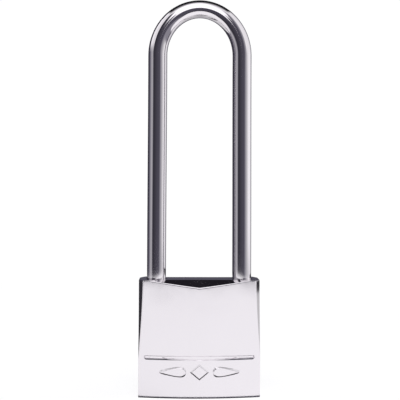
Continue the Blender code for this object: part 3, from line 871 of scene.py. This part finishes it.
def make_world():
    world = bpy.data.worlds.new("studio")
    scene.world = world
    world.use_nodes = True
    nt = world.node_tree
    nt.nodes.clear()
    n = Nodes(nt)
    tc = n.add("ShaderNodeTexCoord")
    sep = n.add("ShaderNodeSeparateXYZ")
    n.link(tc.outputs["Generated"], sep.inputs[0])
    x, y, z = sep.outputs
    # azimuth from the camera's side (-Y), positive towards +X, in turns 0..1 with 0.5 in front
    az = n.math("ARCTAN2", x, n.math("MULTIPLY", y, -1.0))
    az01 = n.math("ADD", n.math("DIVIDE", az, 2 * math.pi), 0.5)
    el = n.math("MULTIPLY", n.math("ARCSINE", z), 180 / math.pi)

    horizon = n.ramp(az01, [stop(d, v) for d, v in (
        (-180, 84), (-164, 82), (-150, 56), (-122, 55), (-110, 80), (-100, 105), (-90, 130), (-80, 152), (-68, 166),
        (-60, 150), (-52, 70), (-44, 46), (-30, 56), (-10, 66), (10, 74), (27, 76), (35, 125), (48, 155), (60, 185),
        (72, 212), (88, 238), (106, 238), (120, 212), (135, 160), (150, 105), (166, 66), (180, 84))])
    upper = n.ramp(az01, [stop(d, v) for d, v in SOFTBOX])
    psi = n.math("MULTIPLY", n.math("ARCTAN2", z, n.math("MULTIPLY", y, -1.0)), 180 / math.pi)   # 90 is overhead
    slant = n.math("DIVIDE", n.math("ABSOLUTE", x), n.math("MAXIMUM", z, 0.001))
    flag = n.math("MULTIPLY", n.map_range(psi, 58.0, 104.0), n.map_range(slant, 0.60, 0.72, 1.0, 0.0))
    flag = n.math("MULTIPLY", flag, n.map_range(el, 8.5, 15.0))
    wide = n.math("ABSOLUTE", az)
    side = n.math("MULTIPLY", n.map_range(wide, 0.90, 0.98), n.map_range(wide, 1.85, 2.15, 1.0, 0.0))
    edge = n.math("SUBTRACT", n.math("MULTIPLY", n.map_range(wide, 0.26, 0.66), 26.0), n.math("MULTIPLY", side, 30.0))
    low = n.math("MULTIPLY", n.map_range(el, -2.0, -10.0), n.map_range(az, 0.50, 0.75))
    low = n.math("MULTIPLY", low, n.map_range(az, 1.75, 2.05, 1.0, 0.0))
    horizon = n.mix(low, horizon, stop(0, 130)[1])
    colour = n.mix(n.map_range(n.math("SUBTRACT", el, edge), 19.0, 27.0), horizon, upper)
    colour = n.mix(flag, colour, (0.0125, 0.0115, 0.0150))
    colour = n.mix(n.map_range(el, -24.0, -40.0), colour, (0.030, 0.028, 0.034))
    seen = n.add("ShaderNodeBackground")
    n.link(colour, seen.inputs["Color"])
    seen.inputs["Strength"].default_value = 1.0
    plain = n.add("ShaderNodeBackground")
    plain.inputs["Color"].default_value = (1, 1, 1, 1)
    plain.inputs["Strength"].default_value = 1.02
    lp = n.add("ShaderNodeLightPath")
    mixer = n.add("ShaderNodeMixShader")
    n.link(lp.outputs["Is Camera Ray"], mixer.inputs[0])
    n.link(seen.outputs[0], mixer.inputs[1])
    n.link(plain.outputs[0], mixer.inputs[2])
    out = n.add("ShaderNodeOutputWorld")
    n.link(mixer.outputs[0], out.inputs["Surface"])


def make_floor():
    bm = bmesh.new()
    bmesh.ops.create_circle(bm, cap_ends=True, segments=96, radius=0.26)
    me = bpy.data.meshes.new("floor")
    bm.to_mesh(me)
    bm.free()
    ob = bpy.data.objects.new("floor", me)
    scene.collection.objects.link(ob)
    ob.location = (0, 0, -0.00002)
    mat, n, bsdf = new_material("floor_paper")
    bsdf.inputs["Base Color"].default_value = (0.40, 0.40, 0.41, 1)
    bsdf.inputs["Roughness"].default_value = 0.9
    bsdf.inputs["Specular IOR Level"].default_value = 0.0
    bsdf.inputs["Emission Color"].default_value = (1.0, 1.0, 1.0, 1)
    bsdf.inputs["Emission Strength"].default_value = 0.82
    me.materials.append(mat)
    ob.visible_glossy = False
    return ob


def make_card():
    """White reflector dish round the foot of the lock: only the plating sees it, brightest in front."""
    bm = bmesh.new()
    count, rim, height = 144, 0.090, 0.0230
    rings = [[], [], []]
    for k in range(count):
        a = 2 * math.pi * k / count
        x = 17.0 * math.cos(a)
        y = math.copysign(crown_y(min(abs(x), W2)) + 1.9, math.sin(a)) * min(1.0, abs(math.sin(a)) / 0.16)
        rings[0].append(bm.verts.new((x * MM, y * MM, 0)))
        wide = min(1.0, max(0.0, (abs(math.atan2(math.cos(a), -math.sin(a))) - 0.55) / 0.6))
        r = rim + 0.085 * wide * wide * (3 - 2 * wide)
        rings[1].append(bm.verts.new((r * math.cos(a), r * math.sin(a), 0)))
        rings[2].append(bm.verts.new((r * math.cos(a), r * math.sin(a), height)))
    for a, b in zip(rings, rings[1:]):
        for k in range(count):
            j = (k + 1) % count
            bm.faces.new((a[k], a[j], b[j], b[k]))
    me = bpy.data.meshes.new("reflector_card")
    bm.to_mesh(me)
    bm.free()
    ob = bpy.data.objects.new("reflector_card", me)
    scene.collection.objects.link(ob)
    ob.location = (0, 0, -0.00004)
    mat = bpy.data.materials.new("card")
    mat.use_nodes = True
    nt = mat.node_tree
    nt.nodes.clear()
    n = Nodes(nt)
    sep = n.add("ShaderNodeSeparateXYZ")
    n.link(n.coords((1, 1, 1)), sep.inputs[0])
    x, y, z = sep.outputs
    az01 = n.math("ADD", n.math("DIVIDE", n.math("ARCTAN2", x, n.math("MULTIPLY", y, -1.0)), 2 * math.pi), 0.5)
    radius = n.math("SQRT", n.math("ADD", n.math("MULTIPLY", x, x), n.math("MULTIPLY", y, y)))
    around = n.ramp(az01, [stop(d, v) for d, v in (
        (-180, 165), (-150, 185), (-110, 212), (-70, 228), (-40, 235), (0, 237), (60, 238), (100, 240), (118, 215),
        (132, 185), (155, 175), (180, 165))])
    glow = n.add("ShaderNodeEmission")
    n.link(around, glow.inputs["Color"])
    clear = n.add("ShaderNodeBsdfTransparent")
    shade = n.add("ShaderNodeMixShader")
    low = n.math("ADD", z, n.math("MULTIPLY", radius, 0.098))
    n.link(n.map_range(low, 0.0287, 0.0305), shade.inputs[0])
    n.link(glow.outputs[0], shade.inputs[1])
    n.link(clear.outputs[0], shade.inputs[2])
    out = n.add("ShaderNodeOutputMaterial")
    n.link(shade.outputs[0], out.inputs["Surface"])
    me.materials.append(mat)
    ob.visible_camera = ob.visible_diffuse = ob.visible_shadow = False
    return ob


def make_flag():
    """Dark flags low behind the lock on both sides: they blacken the corner facets. Only the plating sees them."""
    bm = bmesh.new()
    steps = 12
    for first, last, z0, z1 in ((-152, -100, 0.003, 0.0250), (104, 152, 0.0218, 0.0262)):
        rows = [[], []]
        for k in range(steps + 1):
            a = math.radians(first + (last - first) * k / steps)
            for row, z in zip(rows, (z0, z1)):
                row.append(bm.verts.new((0.050 * math.sin(a), -0.050 * math.cos(a), z)))
        for k in range(steps):
            bm.faces.new((rows[0][k], rows[0][k + 1], rows[1][k + 1], rows[1][k]))
    me = bpy.data.meshes.new("studio_flag")
    bm.to_mesh(me)
    bm.free()
    ob = bpy.data.objects.new("studio_flag", me)
    scene.collection.objects.link(ob)
    mat, n, bsdf = new_material("flag")
    bsdf.inputs["Base Color"].default_value = (0.0, 0.0, 0.0, 1)
    bsdf.inputs["Specular IOR Level"].default_value = 0.0
    bsdf.inputs["Roughness"].default_value = 1.0
    bsdf.inputs["Emission Color"].default_value = (0.032, 0.030, 0.036, 1)
    bsdf.inputs["Emission Strength"].default_value = 1.0
    me.materials.append(mat)
    ob.visible_camera = ob.visible_diffuse = ob.visible_shadow = False
    return ob


def make_skirt():
    """Lower edge of the softbox, close enough to the shackle to show parallax: only the plating sees it."""
    bm = bmesh.new()
    count, r, z0, z1 = 96, 0.11, 0.084, 0.19
    low, high = ([bm.verts.new((r * math.cos(2 * math.pi * k / count), r * math.sin(2 * math.pi * k / count), z))
                  for k in range(count)] for z in (z0, z1))
    for k in range(count):
        j = (k + 1) % count
        bm.faces.new((low[k], low[j], high[j], high[k]))
    me = bpy.data.meshes.new("softbox_skirt")
    bm.to_mesh(me)
    bm.free()
    ob = bpy.data.objects.new("softbox_skirt", me)
    scene.collection.objects.link(ob)
    mat = bpy.data.materials.new("skirt")
    mat.use_nodes = True
    nt = mat.node_tree
    nt.nodes.clear()
    n = Nodes(nt)
    sep = n.add("ShaderNodeSeparateXYZ")
    n.link(n.coords((1, 1, 1)), sep.inputs[0])
    x, y, z = sep.outputs
    az = n.math("ARCTAN2", x, n.math("MULTIPLY", y, -1.0))
    az01 = n.math("ADD", n.math("DIVIDE", az, 2 * math.pi), 0.5)
    wide = n.math("ABSOLUTE", az)
    rise = n.math("MULTIPLY", n.map_range(wide, 0.05, 0.36), 0.0420)
    rise = n.math("ADD", rise, n.math("MULTIPLY", n.map_range(wide, 0.36, 0.66), 0.0400))
    rise = n.math("ADD", rise, n.math("MULTIPLY", n.map_range(az, 0.0, -0.12), 0.0130))
    side = n.math("MULTIPLY", n.map_range(wide, 0.90, 0.98), n.map_range(wide, 1.85, 2.15, 1.0, 0.0))
    start = n.math("ADD", 0.1055, n.math("SUBTRACT", rise, n.math("MULTIPLY", side, 0.0955)))
    width = n.math("ADD", 0.003, n.math("MULTIPLY", side, 0.022))
    shown = n.math("DIVIDE", n.math("SUBTRACT", z, start), width)
    shown = n.math("MINIMUM", n.math("MAXIMUM", shown, 0.0), 1.0)
    shown = n.math("MULTIPLY", shown, n.map_range(wide, 2.15, 2.5, 1.0, 0.0))
    glow = n.add("ShaderNodeEmission")
    n.link(n.ramp(az01, [stop(d, v) for d, v in SOFTBOX]), glow.inputs["Color"])
    clear = n.add("ShaderNodeBsdfTransparent")
    shade = n.add("ShaderNodeMixShader")
    n.link(shown, shade.inputs[0])
    n.link(clear.outputs[0], shade.inputs[1])
    n.link(glow.outputs[0], shade.inputs[2])
    out = n.add("ShaderNodeOutputMaterial")
    n.link(shade.outputs[0], out.inputs["Surface"])
    me.materials.append(mat)
    ob.visible_camera = ob.visible_diffuse = ob.visible_shadow = False
    return ob


def make_camera():
    cam_data = bpy.data.cameras.new("camera")
    cam = bpy.data.objects.new("camera", cam_data)
    scene.collection.objects.link(cam)
    cam_data.sensor_width = 36.0
    cam_data.lens = 77.860
    cam_data.clip_start, cam_data.clip_end = 0.01, 10.0
    yaw, pitch, roll = math.radians(1.6975), math.radians(-0.6180), math.radians(0.2318)
    f = Vector((math.sin(yaw) * math.cos(pitch), math.cos(yaw) * math.cos(pitch), math.sin(pitch)))
    r = Vector((math.cos(yaw), -math.sin(yaw), 0))
    u = r.cross(f)
    r2 = r * math.cos(roll) + u * math.sin(roll)
    u2 = u * math.cos(roll) - r * math.sin(roll)
    m = Matrix((r2, u2, -f)).transposed().to_4x4()
    m.translation = Vector((-6.2799, -217.068, 50.8498)) * MM
    cam.matrix_world = m
    scene.camera = cam
    return cam


make_world()
make_floor()
make_card()
make_flag()
make_skirt()
make_camera()
scene.view_settings.view_transform = "Standard"
scene.view_settings.look = "None"
